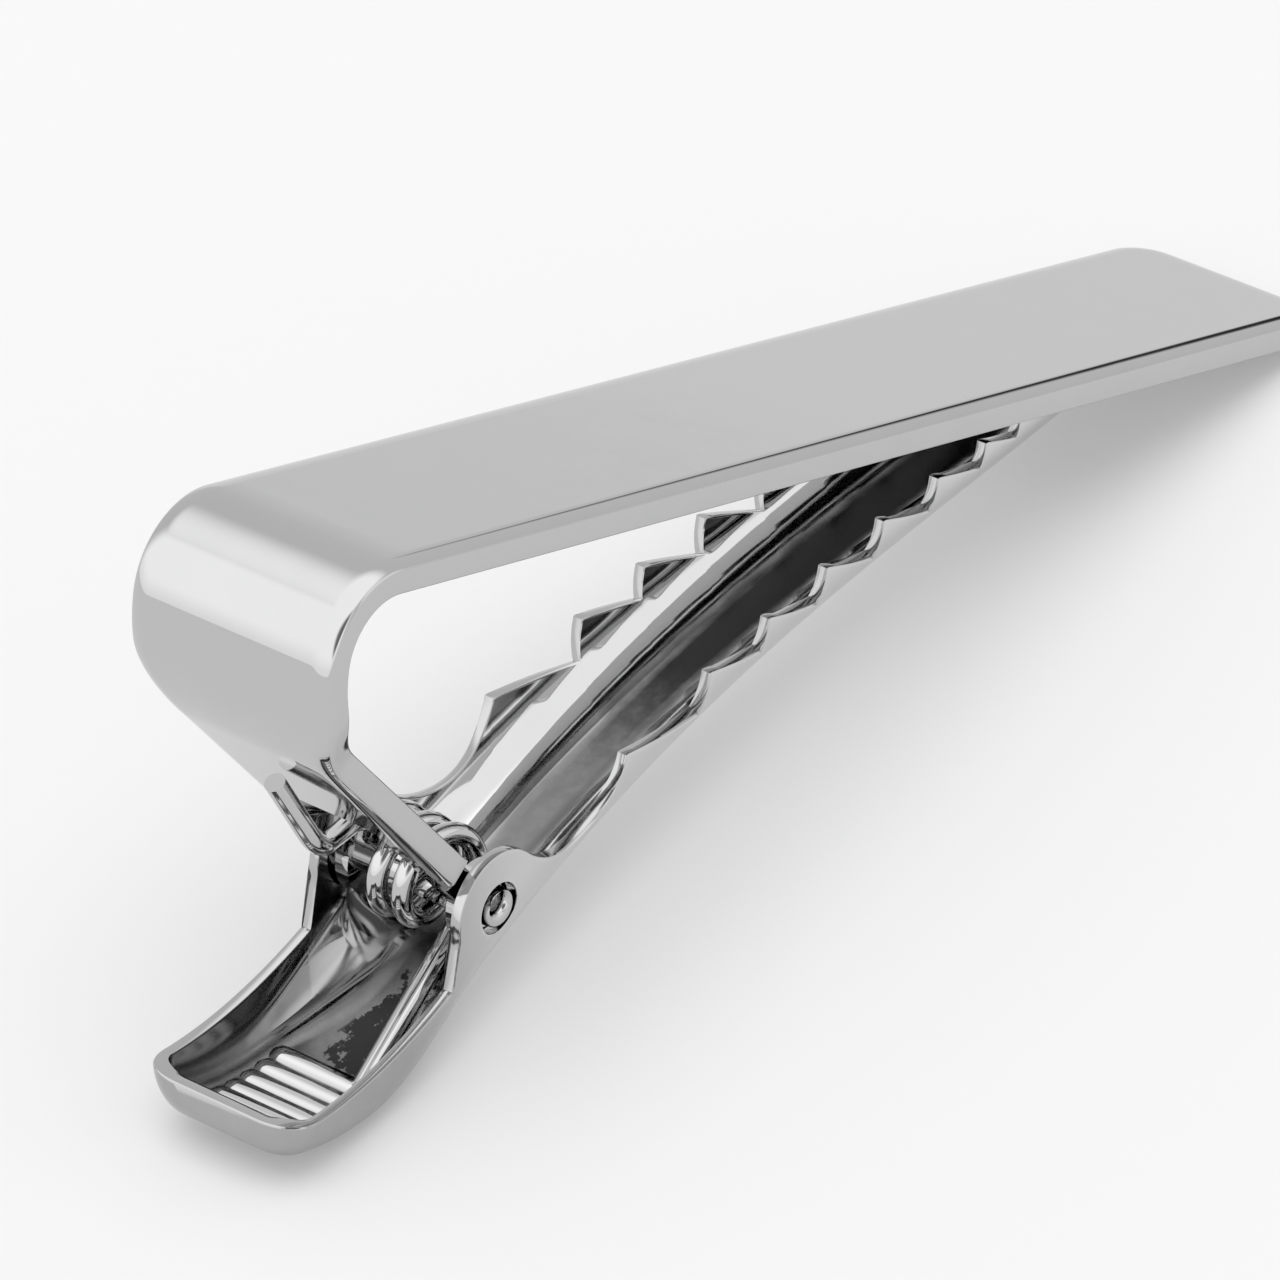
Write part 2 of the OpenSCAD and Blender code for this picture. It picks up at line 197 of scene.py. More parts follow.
# Rows of the strip's grid, from the bar's free end round the fold to the ears' tips
END_STEPS = (0, 0.008, 0.03, 0.06, 0.09, 0.14, 0.2, 0.28, 0.38, 0.5, 0.65, 0.8, 0.95)
FACE_ROWS = 50
TOP_FOLD_ROWS = 36
LOW_FOLD_ROWS = 22
TAIL_ROWS = 14
NOTCH_TURNS = [radians(a) for a in range(0, 90, 10)]
EAR_TURNS = [radians(a) for a in range(20, 180, 5)]
ear_from = TAIL_LEN - sqrt(EAR_R ** 2 - (STRIP_T - PIN_LIFT) ** 2)
strip_rows = [strip_end + e for e in END_STEPS]
strip_rows += spread(strip_end + CORNER_R, -low_arc - top_arc, FACE_ROWS)
strip_rows += spread(-low_arc - top_arc, -low_arc, TOP_FOLD_ROWS)
strip_rows += spread(-low_arc, 0, LOW_FOLD_ROWS)
strip_rows += spread(0, NOTCH_AT, TAIL_ROWS)
strip_rows += [NOTCH_AT + NOTCH_R * (1 - cos(a)) for a in NOTCH_TURNS]
strip_rows += spread(NOTCH_AT + NOTCH_R, ear_from, TAIL_ROWS)
strip_rows += [TAIL_LEN - EAR_R * cos(a) for a in EAR_TURNS] + [TAIL_LEN + EAR_R]

# Columns: five across half the notch, and the rest at these distances from the strip's edge
CENTRE_PARTS = (0, 0.3, 0.6, 0.85, 1)
EDGE_STEPS = (1.0, 0.75, 0.6, 0.52, 0.44, 0.36, 0.28, 0.2, 0.14, 0.09, 0.06, 0.03, 0.008, 0)
EDGE_ROOM = 1.1
half_columns = len(CENTRE_PARTS) + len(EDGE_STEPS)


def strip_y(s, column):
    """Sideways place of a column of the strip's grid at a distance along it."""
    k = column - (half_columns - 1)
    side = 1 if k >= 0 else -1
    k = abs(k)
    inner = notch_half_w(s)
    if k < len(CENTRE_PARTS):
        return side * inner * CENTRE_PARTS[k]
    outer = strip_half_w(s)
    room = min((outer - inner) / (EDGE_ROOM * EDGE_STEPS[0]), 1)
    return side * (outer - room * EDGE_STEPS[k - len(CENTRE_PARTS)])


def strip_depth(s, y, below):
    """Depth of the strip's outer face, or of the face below it, at a place on the strip."""
    to_edge = edge_distance(s, y)
    if s > ear_from:
        half = sqrt(max(EAR_R ** 2 - (s - TAIL_LEN) ** 2, 0))
        if below:
            return max(PIN_LIFT + half, STRIP_T if s < TAIL_LEN else 0)
        return min(PIN_LIFT - half, 0 if s < TAIL_LEN else PIN_LIFT)
    if below:
        return STRIP_T - edge_drop(to_edge, 0, EDGE_R if s < NECK_FROM else NECK_EDGE_R)
    wide = 1 - neck_share(s)
    return edge_drop(to_edge, ROLL_D * wide, mix(NECK_EDGE_R, EDGE_R, wide))


def in_notch(face):
    """Whether a face of the flat grid lies where the notch is cut out."""
    return all(v[row] >= notch_row and abs(v[column] - centre) <= reach for v in face.verts)


bm, row, column = tagged_grid(len(strip_rows), 2 * half_columns - 1)
notch_row = strip_rows.index(NOTCH_AT)
centre = half_columns - 1
reach = len(CENTRE_PARTS) - 1
bmesh.ops.delete(bm, geom=[f for f in bm.faces if in_notch(f)], context="FACES")
lower = new_verts(bmesh.ops.extrude_face_region(bm, geom=bm.faces[:])["geom"])
for v in bm.verts:
    s = strip_rows[v[row]]
    y = strip_y(s, v[column])
    v.co = on_strip(s, y, strip_depth(s, y, v in lower))
bmesh.ops.recalc_face_normals(bm, faces=bm.faces[:])
front_bar = make_object("front_bar_strip", bm, stand)
front_bar.data.set_sharp_from_angle(angle=BAR_CREASE)


class Value:
    """A shader socket, on which arithmetic adds Math nodes."""

    def __init__(self, tree, link):
        self.tree = tree
        self.link = link

    def math(self, operation, other=0.0, swap=False):
        pair = {0: other, 1: self} if swap else {0: self, 1: other}
        return self.tree.add("ShaderNodeMath", {"operation": operation}, pair)

    def __add__(self, other):
        return self.math("ADD", other)

    def __mul__(self, other):
        return self.math("MULTIPLY", other)

    def __sub__(self, other):
        return self.math("SUBTRACT", other)

    def __rsub__(self, other):
        return self.math("SUBTRACT", other, swap=True)

    __radd__ = __add__
    __rmul__ = __mul__

    def between(self, low, high, start=0.0, end=1.0):
        """Eases from start at low to end at high."""
        return self.tree.add("ShaderNodeMapRange", {"interpolation_type": "SMOOTHSTEP"},
                             {0: self, 1: low, 2: high, 3: start, 4: end})


class Tree:
    """The nodes of one material or world."""

    def __init__(self, owner):
        owner.use_nodes = True
        self.nodes = owner.node_tree.nodes
        self.links = owner.node_tree.links
        self.nodes.clear()

    def add(self, kind, settings=None, inputs=None, output=0):
        """A new node with its settings made and its sockets set or linked: one of its outputs."""
        node = self.nodes.new(kind)
        for name, value in (settings or {}).items():
            setattr(node, name, value)
        for name, value in (inputs or {}).items():
            if isinstance(value, Value):
                self.links.new(value.link, node.inputs[name])
            else:
                node.inputs[name].default_value = value
        return Value(self, node.outputs[output]) if len(node.outputs) else None

    def colour(self, share, first, second):
        """A colour between two colours."""
        return self.add("ShaderNodeMix", {"data_type": "RGBA"}, {0: share, 6: first, 7: second}, output=2)

    def layer(self, name):
        """How much of one of the piece's painted layers lies at a place."""
        return self.add("ShaderNodeAttribute", {"attribute_name": name}, output=2)


def grey(level):
    return level, level, level, 1


GRAIN_SCALE = 900.0
DARK_GRAIN = (0.98, 0.98, 0.985)
LIGHT_GRAIN = 1.02
POLISH_ROUGH = 0.03
GRAIN_ROUGH = 0.04


def chrome(name, tone, waves, wave_scale, wear_and_shade=None):
    """Chrome plating whose small waves have a height in metres and a number to the metre; an optional
    function adds wear and painted shade.
    """
    material = bpy.data.materials.new(name)
    tree = Tree(material)
    place = tree.add("ShaderNodeTexCoord", output="Object")
    fine = tree.add("ShaderNodeTexNoise", None, {"Vector": place, "Scale": GRAIN_SCALE, "Detail": 3.0})
    broad = tree.add("ShaderNodeTexNoise", None, {"Vector": place, "Scale": wave_scale, "Detail": 2.0})
    bump = tree.add("ShaderNodeBump", None, {"Height": broad, "Distance": waves, "Strength": 1.0})
    dark_tint = (*(tone * share for share in DARK_GRAIN), 1)
    tint = tree.colour(fine, dark_tint, grey(tone * LIGHT_GRAIN))
    rough = fine * GRAIN_ROUGH + POLISH_ROUGH
    if wear_and_shade:
        tint, rough = wear_and_shade(tree, place, tint, rough)
    shader = tree.add("ShaderNodeBsdfPrincipled", None,
                      {"Base Color": tint, "Metallic": 1.0, "Roughness": rough, "Normal": bump})
    tree.add("ShaderNodeOutputMaterial", None, {"Surface": shader})
    return material


BAR_TONE = 0.565
BAR_WAVES = 0.000004
BAR_WAVE_SCALE = 300.0
front_bar.data.materials.append(chrome("bar_chrome_plate", BAR_TONE, BAR_WAVES, BAR_WAVE_SCALE))
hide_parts("front_bar")
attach(front_bar, "bar")

# Hinge pin: a short steel rod pressed through the tail's ears. Its rounded ends are punched a little
# off their middle, and show in the widened holes of the jaw's ears.
PIN_R = 0.5
PIN_BORE_R = 0.27
PIN_BORE_DEPTH = 0.5
PIN_BORE_STEPS = ((1, 0.5), (0.5, 0.8), (0, 1))
PIN_BORE_OFF = Vector((-0.12, 0, 0.15))
ROLLED_H = 0.32
ROLLED_STEPS = 16
ROLLED_FULLNESS = 0.8
JAW_W = 4.56
SINK_W = 0.15
DOME_H = 0.2
PIN_STEPS = 48
PIN_CREASE = radians(35)
SMALL_TONE = 0.58
SMALL_WAVES = 0.000002
SMALL_WAVE_SCALE = 1500.0
MERGE = 0.0001


def turned(outline, steps):
    """A bmesh of an outline spun round the pin's line: its points are a radius and a place along it."""
    bm = bmesh.new()
    verts = [bm.verts.new((r, y, 0)) for r, y in outline]
    edges = [bm.edges.new(pair) for pair in zip(verts, verts[1:])]
    bmesh.ops.spin(bm, geom=verts + edges, cent=(0, 0, 0), axis=(0, 1, 0), angle=2 * pi, steps=steps,
                   use_merge=True)
    return bm


def add_far_half(bm):
    """Mirrors a turned half across the clip's middle and closes its seams."""
    bmesh.ops.mirror(bm, geom=bm.verts[:] + bm.edges[:] + bm.faces[:], axis="Y", merge_dist=MERGE)
    bmesh.ops.remove_doubles(bm, verts=bm.verts[:], dist=MERGE)
    bmesh.ops.recalc_face_normals(bm, faces=bm.faces[:])


pin_half = JAW_W / 2 - SINK_W
rim_r = (PIN_R + PIN_BORE_R) / 2
rim_foot = pin_half + DOME_H - ROLLED_H
outline = [(PIN_R, 0)]
for i in range(ROLLED_STEPS + 1):
    a = pi * i / ROLLED_STEPS
    outline += [(rim_r + (PIN_R - rim_r) * cos(a), rim_foot + ROLLED_H * sin(a) ** ROLLED_FULLNESS)]
outline += [(PIN_BORE_R * wide, rim_foot - PIN_BORE_DEPTH * deep) for wide, deep in PIN_BORE_STEPS]
bm = turned(outline, PIN_STEPS)
for v in bm.verts:
    near_bore = ease((PIN_R - hypot(v.co.x, v.co.z)) / (PIN_R - PIN_BORE_R))
    if v.co.y > 0:
        v.co += near_bore * PIN_BORE_OFF
add_far_half(bm)
hinge_pin = make_object("hinge_pin_rod", bm, stand @ Matrix.Translation(hinge))
hinge_pin.data.set_sharp_from_angle(angle=PIN_CREASE)
hinge_pin.data.materials.append(chrome("pin_steel_plate", SMALL_TONE, SMALL_WAVES, SMALL_WAVE_SCALE))
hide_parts("hinge_pin")
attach(hinge_pin, "bar")

# Jaw: one pressed sheet of thin steel, a channel that narrows towards its tip. Stepped teeth are
# sheared along both walls, round ears carry the pin, and behind the hinge the channel opens into a
# dished thumb tab with six grip ribs pressed up from below.
JAW_LEN = 20.3
TIP_W = 3.6
SHEET_T = 0.3
HINGE_DEPTH = 2.75
TIP_DEPTH = 1.25
TIP_GAP = 0.03
FLOOR_BOW = 0.7
FLOOR_BOW_FADE = 0.45
BELLY_SHARE = 0.82
CHANNEL_R = 2.0
TIP_R = 1.25
JAW_EAR_R = 1.4
EAR_LEAN = 0.6
HOLE_R = 0.63
HOLE_MOUTH = ((0.3, 0.3), (0.04, 0.02), (0.01, -0.02), (0, -0.06))
HOLE_STEPS = 64
SCOOP_R = 2.2
TOOTH_START = 4.12
TOOTH_BASE = 2.9
TOOTH_BOW = 0.4
TOOTH_LEAN = 0.4
TOOTH_SHARES = (0, 0.176, 0.302, 0.428, 0.554, 0.677, 0.787, 0.867, 0.95)
FALL_SHARES = (-1.2, -0.3, 0.3, 0.7, 0.6, 0.3, 0.4, 0)
TAB_LEN = 6.55
TAB_DEPTH = 0.85
TAB_CORNER_R = 0.9
TAB_EDGE_R = 1.1
LIP_SHARE = 0.55
LIP_T = 0.42
LIP_W = 1.0
RIB_COUNT = 6
RIB_W = 0.42
RIB_H = 0.13
RIB_LEN = 2.9
RIB_PITCH = 0.5
FIRST_RIB = 2.75
RIM_END = (-0.93, -1.29)
RIM_CURVE = 0.69
RIM_ROUND = 0.05
RIM_FULLNESS = 3
RIM_CUTS = 5
RIM_MARGIN = 0.04
JAW_CREASE = radians(40)

tip_rim = -STRIP_T - TIP_GAP - hinge.z
back_rise = tip_rim - TIP_DEPTH + HINGE_DEPTH
back_slope = (1 + FLOOR_BOW) * back_rise / JAW_LEN
tooth_len = JAW_LEN - TOOTH_START
rim_end = Vector([share * JAW_EAR_R for share in RIM_END])
scoop_lift = SHEET_T / 2
scoop_at = Vector((TOOTH_START - sqrt(SCOOP_R ** 2 - scoop_lift ** 2), TOOTH_BASE + scoop_lift))


def floor_z(x):
    """Height of the channel's outer floor over the hinge."""
    if x < 0:
        return -HINGE_DEPTH + back_slope * (x + x * x / (2 * BELLY_SHARE * TAB_LEN))
    q = x / JAW_LEN
    return -HINGE_DEPTH + back_rise * (q + q * (1 - q) * (FLOOR_BOW - FLOOR_BOW_FADE * q))


def stretch(x):
    """How much longer the sloping floor is than its plan."""
    return hypot(1, (floor_z(x + SHEET_T) - floor_z(x - SHEET_T)) / (2 * SHEET_T))


def channel_edge_r(x):
    if x < 0:
        return mix(CHANNEL_R, TAB_EDGE_R, ease(-2 * x / TAB_LEN))
    return mix(CHANNEL_R, TIP_R, x / JAW_LEN)


def front_share(x):
    """Share of its full width and depth that the dished front has reached behind its lip."""
    a = x + TAB_LEN
    return 1 if a >= TAB_CORNER_R else sqrt(max(1 - (1 - a / TAB_CORNER_R) ** 2, 0))


def channel_half_w(x):
    return (JAW_W + (TIP_W - JAW_W) * x / JAW_LEN) / 2 - TAB_CORNER_R * (1 - front_share(x))


def channel_floor(x):
    return floor_z(x) + LIP_SHARE * TAB_DEPTH * (1 - front_share(x))


def tooth_line(q):
    return TOOTH_BASE + (tip_rim - TOOTH_BASE) * (q + q * (1 - q) * TOOTH_BOW)


tab_rim = floor_z(-TAB_LEN) + TAB_DEPTH


def tab_rim_z(x):
    q = (x + TAB_LEN) / (rim_end.x + TAB_LEN)
    return mix(tab_rim, rim_end.y, mix(1, q, RIM_CURVE) * q)


# Each station is a line up the wall: its place along the floor, and the place of the rim above it
FRONT_TURNS = [radians(a) for a in range(0, 90, 6)]
TAB_STATIONS = 72
LEAN_STATIONS = 8
CORNER_STATIONS = 4
DROP_STATIONS = 5
EAR_STATIONS = 36
SCOOP_STATIONS = 30
TOOTH_STEP = 0.3
FALL_STEP = 0.15
TIP_STEPS = (0, 0.05, 0.35, 0.65, 0.95, 1)

rib_from = -FIRST_RIB + RIB_W
ear_from_x = rim_end.x - EAR_LEAN
tab_places = [-TAB_LEN + TAB_CORNER_R * (1 - cos(a)) for a in FRONT_TURNS]
tab_places += spread(-TAB_LEN + TAB_CORNER_R, rib_from, TAB_STATIONS)
tab_places += spread(rib_from, ear_from_x, LEAN_STATIONS)
stations = [(x, x, tab_rim_z(x)) for x in tab_places]

corner_z = -sqrt(JAW_EAR_R ** 2 - rim_end.x ** 2)
corner_x = rim_end.x - RIM_MARGIN
first_turn = 2 * pi - atan2(-corner_z, rim_end.x)
last_turn = atan2(scoop_at.y, scoop_at.x)
ear_end = JAW_EAR_R * scoop_at.normalized()
ear_rim = [(x, tab_rim_z(x)) for x in spread(ear_from_x, corner_x, CORNER_STATIONS) + [corner_x]]
ear_rim += [(rim_end.x, z) for z in spread(rim_end.y, corner_z, DROP_STATIONS)]
ear_turns = spread(first_turn, last_turn, EAR_STATIONS)
ear_rim += [(JAW_EAR_R * cos(a), JAW_EAR_R * sin(a)) for a in ear_turns]
for i, (x, z) in enumerate(ear_rim):
    stations += [(mix(ear_from_x, ear_end.x, i / len(ear_rim)), x, z)]

scoop_end_x = TOOTH_START - TOOTH_LEAN
scoop_turns = spread(last_turn + pi, 2 * pi + asin(-scoop_lift / SCOOP_R), SCOOP_STATIONS)
for i, a in enumerate(scoop_turns):
    floor_x = mix(ear_end.x, scoop_end_x, i / len(scoop_turns))
    stations += [(floor_x, scoop_at.x + SCOOP_R * cos(a), scoop_at.y + SCOOP_R * sin(a))]

for i, share in enumerate(TOOTH_SHARES[:-1]):
    x0 = TOOTH_START + share * tooth_len
    x1 = TOOTH_START + TOOTH_SHARES[i + 1] * tooth_len
    z0 = tooth_line(share)
    z1 = z0 - FALL_SHARES[i] * SHEET_T
    z2 = tooth_line(TOOTH_SHARES[i + 1])
    count = max(3, ceil((x1 - x0) / TOOTH_STEP))
    margin = RIM_MARGIN / (x1 - x0)
    steps = [0, margin] + [k / count for k in range(1, count)] + [1 - margin]
    lean = min(TOOTH_LEAN, (x1 - x0) / 4)
    stations += [(mix(x0 + lean, x1 - lean, t), mix(x0, x1, t), mix(z0, z1, t)) for t in steps]
    falls = max(2, ceil(abs(z2 - z1) / FALL_STEP))
    for k in range(falls):
        stations += [(mix(x1 - lean, x1 + lean, k / falls), x1, mix(z1, z2, k / falls))]
x1 = TOOTH_START + TOOTH_SHARES[-1] * tooth_len
z1 = tooth_line(TOOTH_SHARES[-1])
stations += [(mix(x1 + lean, JAW_LEN, t), mix(x1, JAW_LEN, t), mix(z1, tip_rim, t)) for t in TIP_STEPS]

FLOOR_COLUMNS = 18
SIDE_COLUMNS = 24
SKIN_STEP = 0.002
half_section = FLOOR_COLUMNS + SIDE_COLUMNS
last_row = len(stations) - 1


def rib_rise(x, y):
    """Height of the pressed ribs at a place on the tab's floor."""
    rise = 0
    for i in range(RIB_COUNT):
        off = abs(x + FIRST_RIB + i * RIB_PITCH)
        end = max(abs(y) - (RIB_LEN - RIB_W) / 2, 0)
        d = hypot(off, end) / (RIB_W / 2)
        rise = max(rise, RIB_H * (0.5 + 0.5 * cos(pi * min(d, 1))))
    return rise


def section(x):
    """Half width, edge radius, floor height and height of the rounded edge of the channel."""
    w = channel_half_w(x)
    r = min(channel_edge_r(x), w)
    return w, r, channel_floor(x), r * stretch(x)


def skin(x, reach):
    """A place on the channel's outer skin: along it, and how far up its section from the middle."""
    w, r, base, tall = section(x)
    quarter = pi / 4 * (r + tall)
    climb = reach - (w - r)
    if climb <= 0:
        return Vector((x, reach, base + rib_rise(x, reach)))
    if climb >= quarter:
        return Vector((x, w, base + tall + climb - quarter))
    a = climb / quarter * pi / 2
    y = w - r + r * sin(a)
    return Vector((x, y, base + tall * (1 - cos(a)) + rib_rise(x, y)))


def sheet_places(station, column):
    """A place on the outer skin and the one on the inner skin above it."""
    floor_x, rim_x, rim_z = station
    k = abs(column - half_section)
    w, r, base, tall = section(floor_x)
    if k <= FLOOR_COLUMNS:
        x = floor_x
        reach = (w - r) * k / FLOOR_COLUMNS
    else:
        w, r, base, tall = section(rim_x)
        rim_angle = acos(1 - min((rim_z - base) / tall, 1))
        up_to_rim = rim_angle * (r + tall) / 2 + max(rim_z - base - tall, 0)
        share = 1
        if k < half_section:
            share = min((k - FLOOR_COLUMNS) / (SIDE_COLUMNS - 1) * (1 - RIM_MARGIN / up_to_rim), 1)
        x = mix(floor_x, rim_x, share * (2 - share))
        w, r, base, tall = section(x)
        reach = w - r + share * up_to_rim
    here = skin(x, reach)
    along = skin(x + SKIN_STEP, reach) - skin(x - SKIN_STEP, reach)
    across = skin(x, reach + SKIN_STEP) - skin(x, reach - SKIN_STEP)
    lip = 1 - ease((x + TAB_LEN) / LIP_W)
    within = here + mix(SHEET_T, LIP_T, lip) * along.cross(across).normalized()
    if column < half_section:
        here.y = -here.y
        within.y = -within.y
    return here, within


tip_slope = (floor_z(JAW_LEN) - floor_z(JAW_LEN - SHEET_T)) / SHEET_T


def rim_outward(r, c):
    """Direction in which the sheet's sheared edge faces at a place on its rim."""
    out = Vector((0, 0, 0))
    if abs(c - half_section) == half_section:
        a = stations[max(r - 1, 0)]
        b = stations[min(r + 1, last_row)]
        out += Vector((a[2] - b[2], 0, b[1] - a[1])).normalized()
    if r == last_row:
        out += Vector((1, 0, tip_slope)).normalized()
    return out.normalized()


# Inside the channel and the tab the plating is rougher and painted shade darkens it; a painted dark
# reflection lies in patches on the tab's floor, and painted shade along a streak on the channel's floor
RIM_SHADE_AND_DULLNESS = 0.35
CHANNEL_SHADE_AND_DULLNESS = 0.95
WALL_BRIGHT_FROM = 0.05
WALL_BRIGHT_RUN = 0.3
WALL_LESS_SHADE = 0.08
WALL_LESS_SHADE_RUN = 0.25
TAB_SHADE_AND_DULLNESS_FROM = 1.0
TAB_SHADE_AND_DULLNESS_RUN = 4.0
TAB_OUTSIDE_SHADE_AND_DULLNESS = 0.5
DARK_REFLECTION_FROM = RIB_W / 2 - FIRST_RIB
DARK_REFLECTION_FROM_RUN = 0.2
DARK_REFLECTION_TO = 0.6
DARK_REFLECTION_TO_RUN = 1.2
DARK_REFLECTION_FAR = -0.9
DARK_REFLECTION_FAR_RUN = 0.8
DARK_REFLECTION_NEAR = 1.5
DARK_REFLECTION_NEAR_RUN = 0.4
STREAK_FROM = 2.0
STREAK_RUN = 10.0
STREAK_SIDE = 1.4
STREAK_SIDE_RUN = 0.6


def tab_share(x):
    """How far a place lies into the tab, where the painted shade is deeper and the plating duller."""
    return ease((TAB_SHADE_AND_DULLNESS_FROM - x) / TAB_SHADE_AND_DULLNESS_RUN)


def recess_share(r, c):
    """How deep the painted shade and the rougher plating inside go: 0 at the rims and on the ribs, 1 deep
    in the tab.
    """
    x = stations[r][0]
    k = abs(c - half_section)
    up_wall = max(k - FLOOR_COLUMNS, 0) / SIDE_COLUMNS
    in_channel = CHANNEL_SHADE_AND_DULLNESS * (1 - ease((up_wall - WALL_BRIGHT_FROM) / WALL_BRIGHT_RUN))
    in_tab = 1 - WALL_LESS_SHADE * ease(up_wall / WALL_LESS_SHADE_RUN)
    floor_half_w = channel_half_w(x) - channel_edge_r(x)
    y = floor_half_w * k / FLOOR_COLUMNS if k <= FLOOR_COLUMNS else JAW_W
    return mix(in_channel, in_tab, tab_share(x)) * (1 - rib_rise(x, y) / RIB_H)


def dark_reflection_share(r, c):
    """How much painted dark reflection lies on the plating: most on the tab's floor beside the lying leg.
    """
    x = stations[r][0]
    across = (half_section - c) / FLOOR_COLUMNS
    along = ease((x - DARK_REFLECTION_FROM) / DARK_REFLECTION_FROM_RUN) * ease((DARK_REFLECTION_TO - x) / DARK_REFLECTION_TO_RUN)
    beside = ease((across - DARK_REFLECTION_FAR) / DARK_REFLECTION_FAR_RUN) * ease((DARK_REFLECTION_NEAR - across) / DARK_REFLECTION_NEAR_RUN)
    return along * beside


def streak_share(r, c):
    """How dark the painted shade along the channel's floor is: it deepens towards the tip."""
    across = abs(half_section - c) / FLOOR_COLUMNS
    along = ease((stations[r][0] - STREAK_FROM) / STREAK_RUN)
    return along * ease((STREAK_SIDE - across) / STREAK_SIDE_RUN)


bm, row, column = tagged_grid(len(stations), 2 * half_section + 1)
places = {(v[row], v[column]): sheet_places(stations[v[row]], v[column]) for v in bm.verts}
# Layers on the jaw's corners: painted shade with rougher plating, a painted dark reflection, and a
# painted shade streak
shade_and_dullness = bm.verts.layers.float.new("shade_and_dullness")
dark_reflection = bm.verts.layers.float.new("dark_reflection")
streak = bm.verts.layers.float.new("streak")
# The outer skin gets painted shade on the tab's outside, where the plating is also rougher
for v in bm.verts:
    v.co = places[v[row], v[column]][0]
    v[shade_and_dullness] = TAB_OUTSIDE_SHADE_AND_DULLNESS * tab_share(v.co.x)
front_verts = sorted((v for v in bm.verts if v[row] == 0), key=lambda v: v[column])
bm.faces.new(front_verts)
bmesh.ops.recalc_face_normals(bm, faces=bm.faces[:])
inner = new_verts(bmesh.ops.extrude_face_region(bm, geom=bm.faces[:])["geom"])
# The inner skin gets painted shade and rougher plating deep inside, the painted dark reflection and the
# painted shade streak
for v in inner:
    v.co = places[v[row], v[column]][1]
    v[shade_and_dullness] = recess_share(v[row], v[column])
    v[dark_reflection] = dark_reflection_share(v[row], v[column])
    v[streak] = streak_share(v[row], v[column])
through = [e for e in bm.edges if (e.verts[0] in inner) != (e.verts[1] in inner)]
cut = bmesh.ops.subdivide_edges(bm, edges=through, cuts=RIM_CUTS, use_grid_fill=True)["geom_inner"]
# The rounded rims get a small share of the painted shade and the rougher plating
for v in new_verts(cut):
    outer_place, inner_place = places[v[row], v[column]]
    part = (v.co - outer_place).length / (inner_place - outer_place).length
    part = (1 - cos(pi * round(part * (RIM_CUTS + 1)) / (RIM_CUTS + 1))) / 2
    swell = RIM_ROUND * (1 - abs(2 * part - 1) ** RIM_FULLNESS) ** (1 / RIM_FULLNESS)
    v.co = outer_place.lerp(inner_place, part) + swell * rim_outward(v[row], v[column])
    v[shade_and_dullness] = RIM_SHADE_AND_DULLNESS
bmesh.ops.recalc_face_normals(bm, faces=bm.faces[:])
jaw = make_object("jaw_channel", bm, stand @ Matrix.Translation(hinge))


def bored(obj, drill):
    """Cuts a drill's shape out of a piece, for good, and takes the drill away."""
    modifier = obj.modifiers.new("Bore", "BOOLEAN")
    modifier.operation = "DIFFERENCE"
    modifier.object = drill
    modifier.solver = "EXACT"
    depsgraph = bpy.context.evaluated_depsgraph_get()
    baked = bpy.data.meshes.new_from_object(obj.evaluated_get(depsgraph))
    obj.modifiers.clear()
    obj.data = baked
    bpy.data.objects.remove(drill)


mouth_end = HOLE_MOUTH[0][1]
hole = [(0, JAW_W / 2 + mouth_end)]
hole += [(HOLE_R + wider, JAW_W / 2 + out) for wider, out in HOLE_MOUTH]
bm = turned(hole + [(HOLE_R, 0)], HOLE_STEPS)
add_far_half(bm)
bored(jaw, make_object("drill", bm, stand @ Matrix.Translation(hinge)))
jaw.data.set_sharp_from_angle(angle=JAW_CREASE)

JAW_TONE = 0.7
JAW_WAVES = 0.000006
JAW_WAVE_SCALE = 600.0
# Tones of the painted shade deep inside the jaw, and of the painted dark reflection and the painted shade
# streak
RECESS_SHADE_TONE = 0.16
PAINTED_DARK_TONE = 0.035
PATCH_SCALE = 1300.0
PATCH_SHADE = (0.3, 0.6, 0.93, 1.0)
RAGGED_PULL = 0.18
RAGGED_EDGE = (0.6, 0.63)
RAGGED_FADE = (0.0, 0.3)
STREAK_SHADE_PULL = 0.5
STREAK_SHADE_EDGE = (0.4, 1.05)
RECESS_ROUGH = 0.16
RECESS_FROM = (0.86, 0.91)
OUTSIDE_ROUGH = 0.1
OUTSIDE_FROM = (0.1, 0.5)
OUTSIDE_TO = (0.5, 0.7)


def plate_wear_and_painted_shade(tree, place, tint, rough):
    """Rougher plating and painted shade deep inside the jaw, a painted dark reflection in ragged patches
    on the tab, and painted shade along the channel's streak.
    """
    deep = tree.layer("shade_and_dullness")
    dark_reflection_layer = tree.layer("dark_reflection")
    patches = tree.add("ShaderNodeTexNoise", None,
                       {"Vector": place, "Scale": PATCH_SCALE, "Detail": 6.0, "Roughness": 0.7})
    ragged = (patches + RAGGED_PULL * dark_reflection_layer).between(*RAGGED_EDGE) * dark_reflection_layer.between(*RAGGED_FADE)
    streak_shade = (tree.layer("streak") + STREAK_SHADE_PULL * patches).between(*STREAK_SHADE_EDGE)
    painted_dark = ragged + streak_shade * (1 - ragged)
    recess_shade = deep * patches.between(*PATCH_SHADE)
    inside_tint = tree.colour(painted_dark, grey(RECESS_SHADE_TONE), grey(PAINTED_DARK_TONE))
    tint = tree.colour(recess_shade + painted_dark * (1 - recess_shade), tint, inside_tint)
    outside = deep.between(*OUTSIDE_FROM) * (1 - deep.between(*OUTSIDE_TO))
    rough = rough + RECESS_ROUGH * deep.between(*RECESS_FROM) + OUTSIDE_ROUGH * outside
    return tint, rough


